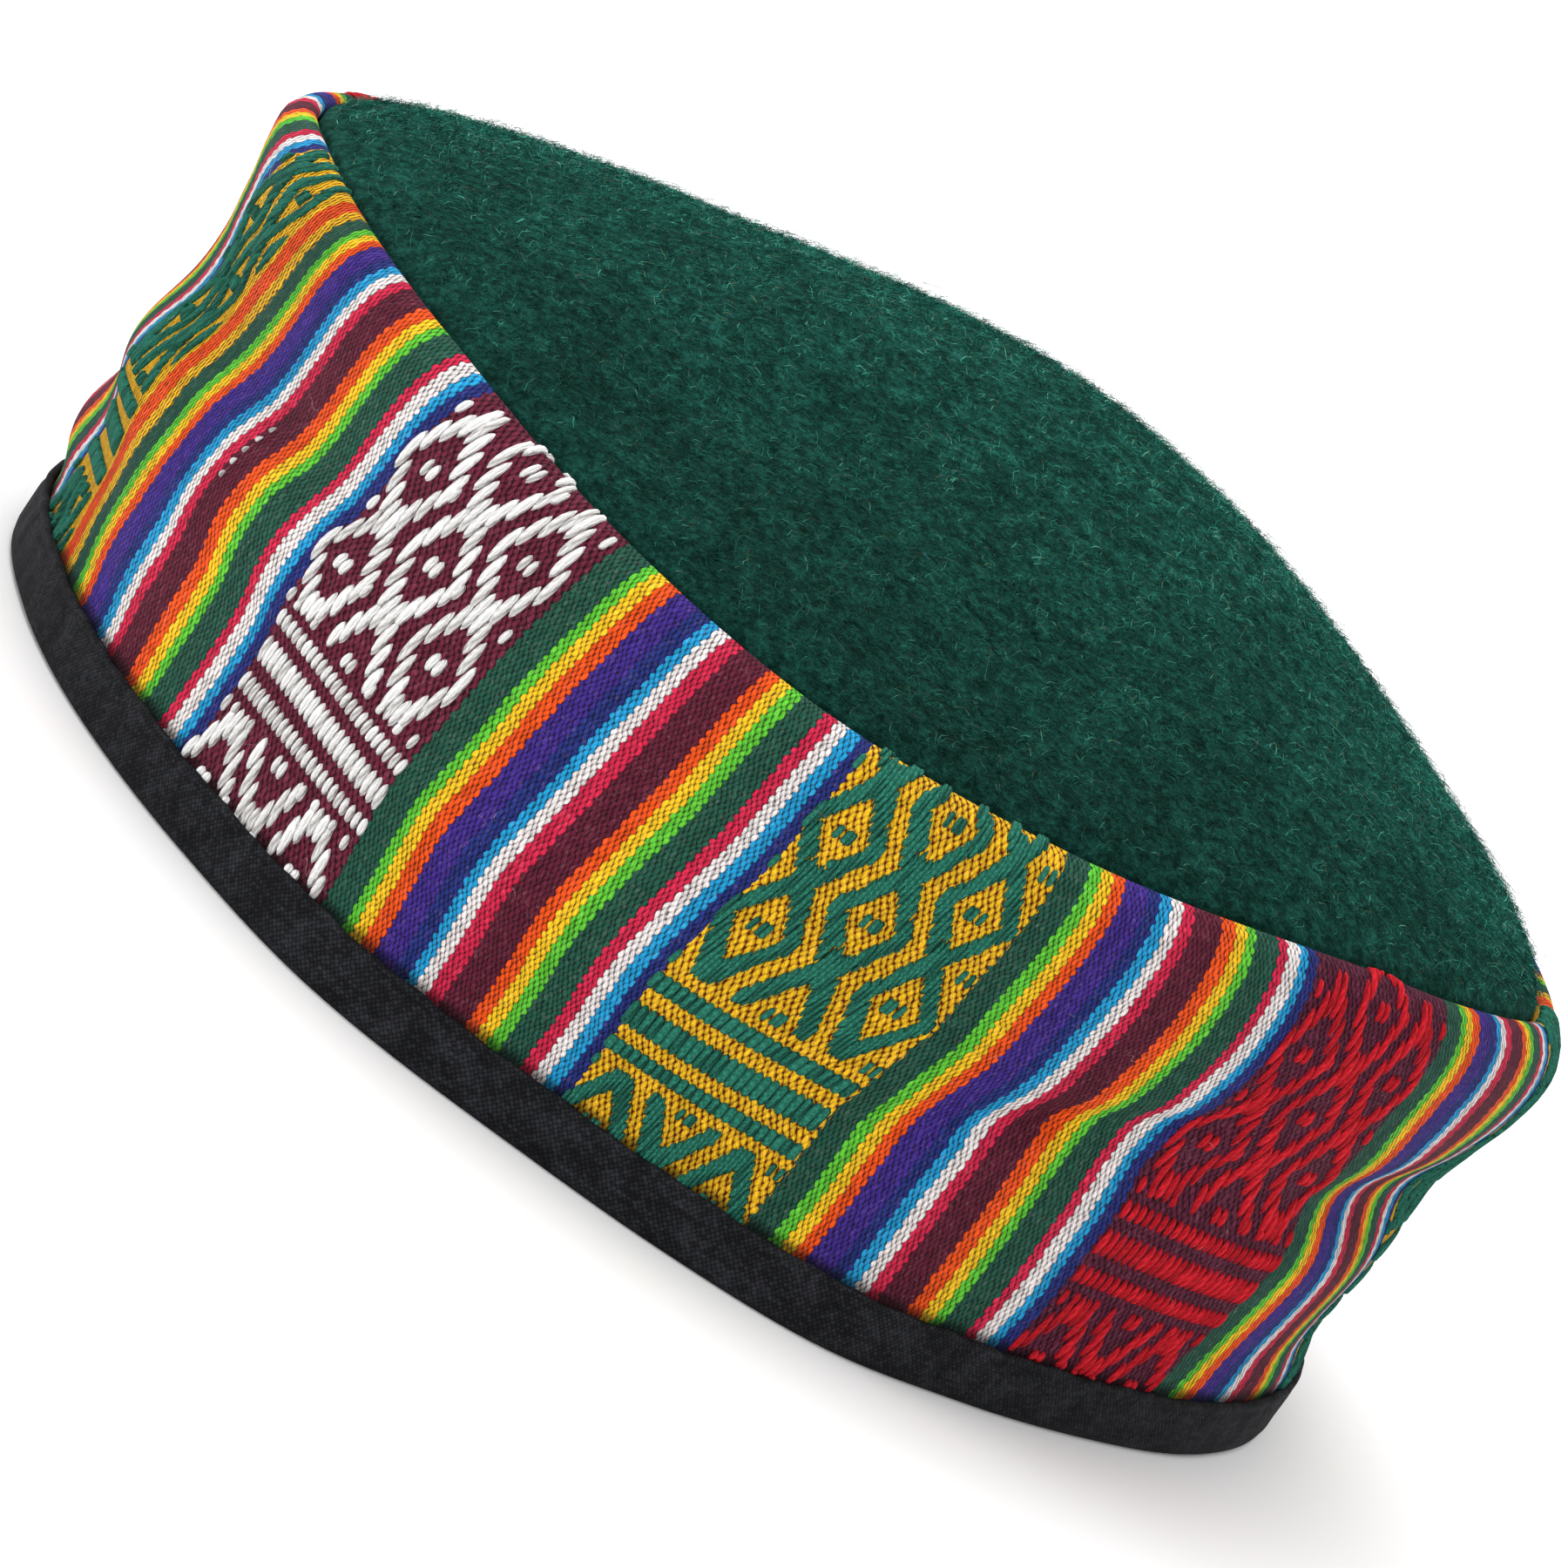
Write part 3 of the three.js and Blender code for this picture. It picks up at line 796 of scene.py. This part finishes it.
# Yarns of the gold panel: green covers all that is not gold, in whole yarns to the bars and in single
# plies above them
def greenYarns():
    chart, yarns = goldChart, []
    low, middle = chart["bars"][0][1], chart["bars"][1][1]
    for index in range(figure["ticks"]):
        tick = index + chart["firstTick"]
        yarns.append((tick, 0.0, chart["middleBar"], figure["greenWidth"]))
        bar = chart["bars"][1][0] - low
        yarns.append((tick, low + bar / 2, bar + 2 * chart["overlap"], figure["greenWidth"]))
        for side in chart["plies"]:
            run = []
            for place in np.arange(middle, chart["highest"], chart["step"]):
                bare = goldShows(tick + side, place)
                if not bare:
                    run.append(place)
                if run and (bare or run[-1] - run[0] > chart["longest"]):
                    length = run[-1] - run[0] + chart["step"]
                    if length > chart["shortest"]:
                        reach = length + 2 * chart["overlap"]
                        yarns.append((tick + side, (run[0] + run[-1]) / 2, reach, figure["plyWidth"]))
                    run = []
    return yarns


# The yarns of each figure: colours, how broken their streaks are, how far they slant, and how their width
# falls off to their ends
yarnKinds = {
    "white": {"colours": ("#ffffff", "#9c948c"), "broken": 0.8, "slant": 0.03, "ends": (2.4, 0.7)},
    "red": {"colours": ("#dc1f2d", "#7c0a16"), "broken": 1.2, "slant": 0.03, "ends": (2.4, 0.7)},
    "green": {"colours": ("#2c7f6a", "#052c22"), "broken": 2.0, "slant": 0.04, "ends": (6.0, 0.5)},
}

# A yarn's section, and how far chance changes its size and its slant
yarnForm = {"sides": 6, "stations": 5, "height": 0.5, "under": -0.7, "raised": 0.45, "sunk": 0.3,
            "size": (0.92, 0.16), "slant": (0.4, 1.2)}


# Rounded yarns laid on the cloth: thread, level, half length, width and a chance value for each
def layYarns(kind, rows):
    look, form = yarnKinds[kind], yarnForm
    thread, level, half, width, seed = (np.array(column)[:, None] for column in zip(*rows))
    stations = np.linspace(-1, 1, form["stations"] + 2)
    taper = np.clip(1 - np.abs(stations) ** look["ends"][0], 0, 1) ** look["ends"][1]
    across, upwards, lift, turns = [], [], [], []
    for station, swell in zip(stations, taper):
        for side in range(form["sides"] if 0 < swell else 1):
            angle = side / form["sides"] * 2 * math.pi
            across.append(math.cos(angle) * swell / 2)
            lift.append((max(math.sin(angle), form["under"]) + form["raised"]) * swell - form["sunk"])
            upwards.append(station)
            turns.append(side / form["sides"])
    across, upwards, lift, turns = (np.array(values)[None] for values in (across, upwards, lift, turns))
    size = form["size"][0] + form["size"][1] * seed
    slant = look["slant"] * (form["slant"][0] + form["slant"][1] * ((seed * 7) % 1))
    levels = level + upwards * half
    pitch = 2 * math.pi * cap["rimRadius"] / cloth["threadsRound"]
    threads = thread + (across * width * size + upwards * half * slant) / pitch
    levels = levels + liftAt(azimuthOf(threads, levels), levels)
    azimuth = azimuthOf(threads, levels)
    raised = clothOutward(azimuth, levels) * (lift * form["height"] * size)[..., None] * mm
    count = form["sides"]
    last = 1 + form["stations"] * count
    quads, tips = [], []
    for index in range(count):
        following = (index + 1) % count
        tips += [(0, 1 + following, 1 + index), (last, last - count + index, last - count + following)]
        for start in range(1, last - count, count):
            quads.append((start + index, start + following, start + count + following, start + count + index))
    sheet = np.stack([turns + 0 * half, upwards * half + seed * 5], -1)     # each yarn is streaked elsewhere
    finish = yarnFinish(kind + "_yarn", *look["colours"], look["broken"])
    places = clothPlace(azimuth, levels) + raised
    piece = joinedPiece(kind + "_figure", places, [quads, tips], finish, seed, sheet)


# A short run of white stitches that shows at the edge of one dark stripe
strayStitches = {"thread": -108.1, "low": 34.2, "high": 44.0, "step": 2.2, "half": 0.65, "width": 0.36}


def makeFigures():
    period, row = cloth["stripes"] + cloth["panel"], figure["row"]
    tickThreads = cloth["panel"] / figure["ticks"]
    figures = {kind: [] for kind in yarnKinds}
    seam = cloth["threadsRound"] / 2 - figure["seamClear"]
    diamonds, greens = diamondYarns(), greenYarns()
    for index in range(-figure["groups"], figure["groups"] + 1):
        panel = index % cloth["panelKinds"]
        kind = ("green", "red", "green", "white")[panel]
        start = cloth["stripes"] + index * period
        shift = diamondChart["shift"].get(kind, 0)
        for tick, place, length, width in (greens if kind == "green" else diamonds):
            if panel == 2 and tick > goldChart["plainFrom"]:
                continue            # one gold panel has a plain orange stripe there
            thread = start + (tick + shift * (place > diamondChart["shiftFrom"])) * tickThreads
            turn = thread - cloth["frontThread"]
            if abs(turn) > seam:
                continue
            if kind == "red":
                width = width * figure["redWidth"]
            azimuth = turn * 360 / cloth["threadsRound"]
            highest = rollStart(azimuth) + figure["overRoll"] - liftAt(azimuth, liftHeights[-1])
            for side in ((-1, 1) if place else (1,)):
                level, half = figure["middleBar"] + side * place * row, length * row / 2
                high, low = min(level + half, float(highest)), max(level - half, figure["lowest"])
                if high - low > figure["shortest"]:
                    figures[kind].append((thread, (high + low) / 2, (high - low) / 2, width, chance.random()))
    stray = strayStitches
    for level in np.arange(stray["low"], stray["high"], stray["step"]):
        figures["white"].append((stray["thread"], level, stray["half"], stray["width"], chance.random()))
    for kind, rows in figures.items():
        layYarns(kind, rows)
    print("figures:", {kind: len(rows) for kind, rows in figures.items()})


# Crown: felt dome with the allowance that goes down inside the band
crownMesh = {"columns": 300, "outsideRows": 90, "insideRows": 30, "crowding": 1.3}      # of rows at the seam
crownEdge = cap["seamRadius"] - cap["gap"] - cap["seamSlack"]


def crownFoldAt(x, y):
    rise = np.zeros(np.shape(x))
    for fromX, fromY, toX, toY, lift, halfWidth in crownFolds:
        away = fromLine(x - fromX, y - fromY, toX - fromX, toY - fromY)
        rise = rise + lift * hump(away / halfWidth)
    return rise


# A point of the dome at an azimuth and a share of its radius
def crownPlace(azimuth, share, edge=crownEdge, sink=0.0):
    angle, drift = np.radians(azimuth), 1 - share * share
    x = edge * share * np.sin(angle) + cap["seamShift"] + cap["crownTop"][0] * drift
    y = -edge * share * np.cos(angle) + cap["crownTop"][1] * drift
    base = topAt(azimuth) * share * share + cap["crownMiddle"] * drift
    rounded = np.hypot(share, cap["crownTipRound"] * (1 - share))
    height = base + cap["crownRise"] * (1 - rounded ** cap["crownPower"])
    height = height + cap["crownPuff"] * (1 - np.abs(share) ** cap["crownPuffPower"])
    height = height + crownFoldAt(x, y) * (1 - np.abs(share) ** cap["crownFoldFade"]) - sink
    return standing(x, y, height)


def makeCrown():
    azimuth = np.linspace(0, 360, crownMesh["columns"] + 1)
    felt, drop = cap["feltThickness"], cap["allowanceDrop"]
    inner = crownEdge - felt
    section = []
    for share in np.linspace(0, 1, crownMesh["insideRows"]):
        section.append(crownPlace(azimuth, share + 0 * azimuth, inner, felt))
    for radius, part in ((inner, 0.5), (inner, 1.0), (crownEdge, 1.0), (crownEdge, 0.5)):
        section.append(ringPlace(azimuth, radius, topAt(azimuth) - part * drop, 1.0))
    for share in 1 - np.linspace(0, 1, crownMesh["outsideRows"]) ** crownMesh["crowding"]:
        section.append(crownPlace(azimuth, share + 0 * azimuth))
    places = np.stack(section, 1)
    piece = gridPiece("crown_felt", places, places[..., :2] / mm, [feltFinish("felt")])
    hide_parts("crown")


# Nap: short curved fibres that lie over the felt, brushed one way, and fewer long loose ones
napLayers = {
    "crown_nap_low": {"count": 39000, "length": (0.8, 2.2), "rise": (0.05, 0.35), "width": 0.12, "bend": 0.6},
    "crown_nap_high": {"count": 39000, "length": (1.0, 2.8), "rise": (0.1, 0.5), "width": 0.075, "bend": 0.9},
    "crown_nap_tips": {"count": 18000, "length": (0.5, 1.3), "rise": (0.6, 1.3), "width": 0.055, "bend": 0.9,
                       "spread": 180},
    "crown_loose_hairs": {"count": 1500, "length": (3.0, 7.0), "rise": (0.1, 0.4), "width": 0.05, "bend": 1.6,
                          "stations": 9},
}
napLay = {"heading": 67, "spread": 55, "farthest": 0.994, "nearest": 0.03}
woolColours = [(0.0, "#061813"), (0.4, "#0f3830"), (0.75, "#1a5449"), (0.87, "#2b7060"), (0.92, "#4b8a79"),
               (0.94, "#48582f"), (0.96, "#5c4a48"), (0.975, "#2a6480"), (1.0, "#9ab0a4")]
lintColours = [(0.0, "#5a4440"), (0.6, "#947f7c"), (1.0, "#d8d0cc")]


# What all fibres share: how deep they root, how they curl and arch, how a bent one falls short, how much
# they thin out, and how much lighter their tips are: painted light, the tips lit and the roots in shade
fibreShape = {"stations": 4, "rooted": 0.1, "curl": 0.25, "curlTurn": 7, "arch": 2.4, "short": 0.3,
              "thinning": 0.6, "lighter": 0.08}


# Ribbons from their roots, along the surface that they stand on
def layFibres(name, layer, root, raised, heading, finish):
    form = fibreShape | layer
    lengths, rises, bends, curls, rolls, shadings = (chance.random(len(root))[:, None] for draw in range(6))
    helper = np.stack([np.cos(heading), np.sin(heading), 0 * heading], -1)
    sideways = np.cross(raised, helper)
    sideways = sideways / np.linalg.norm(sideways, axis=-1, keepdims=True)
    forward = np.cross(sideways, raised)
    length = np.interp(lengths, (0, 1), form["length"]) * mm
    rise = np.interp(rises, (0, 1), form["rise"])
    bend = (bends - 0.5) * 2 * form["bend"]
    curl = curls * form["bend"] * form["curl"]
    roll = math.pi * rolls
    flat = (sideways * np.cos(roll) + raised * np.sin(roll)) * form["width"] / 2 * mm
    stations = np.linspace(0, 1, form["stations"])
    points, shades = [], []
    for station in stations:
        wave = bend * station * station + curl * math.sin(station * form["curlTurn"])
        reach = station - form["short"] * np.abs(bend) * station ** 3
        middle = (root - raised * form["rooted"] * mm + forward * length * reach
                  + raised * length * rise * math.sin(station * form["arch"]) + sideways * length * wave)
        side = flat * (1 - form["thinning"] * station)
        spots = [middle - side, middle + side] if station < 1 else [middle]
        points += spots
        # painted light: each fibre lighter towards its tip
        shades += [shadings * (1 - form["lighter"]) + station * form["lighter"]] * len(spots)
    last = len(points) - 1
    strips = [(start, start + 1, start + 3, start + 2) for start in range(0, last - 2, 2)]
    faces = [strips, [(last - 2, last - 1, last)]]
    return joinedPiece(name, np.stack(points, 1), faces, finish, np.concatenate(shades, 1))


def makeNap(name, layer):
    count = layer["count"]
    azimuth = 360 * chance.random(count)
    share = np.sqrt(chance.random(count)) * napLay["farthest"]
    spots = np.maximum(share, napLay["nearest"])
    raised = outward(crownPlace, azimuth, spots, firstStep=0.4, secondStep=0.004)
    raised = raised * np.sign(raised[:, 2:3])
    spread = layer.get("spread", napLay["spread"])
    heading = np.radians(napLay["heading"] + spread * chance.standard_normal(count))
    finish = hairFinish(name + "_wool", woolColours, True)
    piece = layFibres(name, layer, crownPlace(azimuth, share), raised, heading, finish)


# Lint: a few pale hairs caught on the cloth
lintLayer = {"count": 320, "length": (0.8, 3.2), "rise": (0.05, 0.25), "width": 0.03, "bend": 1.2,
             "stations": 8, "lowest": 9.5, "highest": 62.0, "clear": 0.4}


def makeLint():
    count, low, high = (lintLayer[key] for key in ("count", "lowest", "highest"))
    azimuth = 360 * chance.random(count)
    level = low + (high - low) * chance.random(count)
    raised = clothOutward(azimuth, level)
    root = clothPlace(azimuth, level) + raised * lintLayer["clear"] * mm
    heading = 2 * math.pi * chance.random(count)
    piece = layFibres("band_lint", lintLayer, root, raised, heading, hairFinish("lint", lintColours, False))


# Binding: a tape folded round the lower edge, slightly puckered along its stitching
binding = {
    "columns": 560, "outsideRows": 16, "insideRows": 7,
    "pucker": 0.16, "puckers": 84, "secondPucker": (0.37, 1.3), "edgeWave": 0.18,
    "stitchDrop": 1.3, "stitchGroove": 0.22, "stitchHalfWidth": 0.5,
    "corner": ((1.0, 0.0), (0.55, 0.08), (0.15, 0.6)),      # inwards by tapeRound, and height
}


# The binding's section from its lower outer corner round to its lower inner one, as radii and heights
def bindingSection(azimuth):
    tape, gap, wall = (cap[key] for key in ("tapeThickness", "gap", "clothThickness"))
    soft, high, insideTop = (cap[key] for key in ("tapeRound", "bindingHeight", "bindingInnerHeight"))
    rim, turns = rimAt(azimuth), np.radians(azimuth) * binding["puckers"]
    slower, start = binding["secondPucker"]
    wave = (np.sin(turns) + np.sin(turns * slower + start)) * 0.5
    edge = high + binding["edgeWave"] * wave
    outside = bandRadius(azimuth, edge) + gap
    section = [(rim - soft * inwards, height) for inwards, height in binding["corner"]] + [(rim, soft)]
    for height in np.linspace(soft + 0.8, high - 0.5, binding["outsideRows"]):
        share = (height - soft) / (high - soft)
        stitching = (height - high + binding["stitchDrop"]) / binding["stitchHalfWidth"]
        groove = binding["stitchGroove"] * hump(stitching)
        bulge = binding["pucker"] * wave * math.sin(share * math.pi)
        section.append((rim + (outside + tape - rim) * share - groove + bulge, height))
    section += [(outside + tape * 0.9, edge - 0.18), (outside + tape * 0.55, edge),
                (outside + 0.02, edge - 0.05), (outside - gap * 0.4, edge - 0.6)]
    fold = bandRadius(azimuth, insideTop + 0 * rim) - wall - gap
    inner, shoulder = rim - 3 * gap - 2 * tape - wall, insideTop - 0.4
    section += [(fold + gap * 0.5, insideTop - 0.6), (fold, insideTop), (fold - tape * 0.5, insideTop + 0.05),
                (fold - tape, shoulder)]
    for share in np.linspace(0.1, 0.9, binding["insideRows"]):
        section.append((fold - tape + (inner - fold + tape) * share, shoulder + (soft - shoulder) * share))
    section.append((inner, soft))
    section += [(inner + soft * inwards, height) for inwards, height in reversed(binding["corner"])]
    return [(radius, height + 0 * rim) for radius, height in section]


def makeBinding():
    azimuth = np.linspace(-180, 180, binding["columns"] + 1)
    section = bindingSection(azimuth)
    places, sheet, walked = [], [], 0 * azimuth
    before = section[0]
    for radius, height in (*section, section[0]):
        walked = walked + np.hypot(radius - before[0], height - before[1])
        before = radius, height
        places.append(ringPlace(azimuth, radius, height, height / topAt(azimuth)))
        sheet.append(np.stack([np.radians(azimuth) * cap["rimRadius"], walked], -1))
    piece = gridPiece("binding_tape", np.stack(places, 1), np.stack(sheet, 1), [tapeFinish("black_tape")])
    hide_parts("binding")


# Camera
view = {"distance": 2.2, "elevation": 14.5, "roll": 36.24, "aim": (0.000639, 0.00003, 0.03042),
        "lens": 413.6, "sensor": 36.0, "nearest": 0.1, "farthest": 50.0}


def makeCamera():
    data = bpy.data.cameras.new("view")
    data.lens, data.sensor_width = view["lens"], view["sensor"]
    data.clip_start, data.clip_end = view["nearest"], view["farthest"]
    camera = addObject("view", data)
    tilt = math.radians(view["elevation"])
    x, y, z = view["aim"]
    place = (x, y - view["distance"] * math.cos(tilt), z + view["distance"] * math.sin(tilt))
    camera.matrix_world = (Matrix.Translation(place) @ Matrix.Rotation(math.radians(90) - tilt, 4, "X")
                           @ Matrix.Rotation(math.radians(view["roll"]), 4, "Z"))
    bpy.context.scene.camera = camera


# Stage: a pale floor, an even sky and soft lights, each with its place, size and power, that look at the cap
stage = {"floorHalf": 7.0, "floorColour": (0.9, 0.9, 0.9, 1.0), "sky": 0.75}
softLights = {
    "softbox_top": ((-0.25, 0.35, 1.3), 1.4, 16.0),
    "softbox_left": ((-1.5, -0.9, 0.7), 1.2, 12.0),
    "softbox_front": ((0.5, -2.0, 1.1), 1.2, 12.0),
}


def makeStage():
    form = bmesh.new()
    bmesh.ops.create_grid(form, x_segments=1, y_segments=1, size=stage["floorHalf"])
    mesh = meshOf("floor", form)
    finish = Finish("pale_floor", Base_Color=stage["floorColour"], Roughness=0.9, Specular_IOR_Level=0.1)
    mesh.materials.append(finish.material)
    addObject("floor", mesh)
    for name, (place, size, power) in softLights.items():
        data = bpy.data.lights.new(name, "AREA")
        data.shape, data.size, data.energy = "DISK", size, power
        light = addObject(name, data)
        light.location = place
        light.rotation_euler = (-light.location).to_track_quat("-Z", "Y").to_euler()
    world = bpy.data.worlds.new("studio")
    world.use_nodes = True
    sky = world.node_tree.nodes["Background"].inputs
    sky["Color"].default_value, sky["Strength"].default_value = (1.0, 1.0, 1.0, 1.0), stage["sky"]
    bpy.context.scene.world = world
    bpy.context.scene.view_settings.view_transform = "Standard"


makeCamera()
makeStage()
print("camera and stage made")
makeBand()
print("band made")
makeFigures()
makeBinding()
print("binding made")
makeCrown()
for napName, napLayer in napLayers.items():
    makeNap(napName, napLayer)
print("crown and nap made")
makeLint()
for piece in bpy.data.objects:
    if piece.type == "MESH":
        print(piece.name, sum(len(face.vertices) - 2 for face in piece.data.polygons), "triangles")
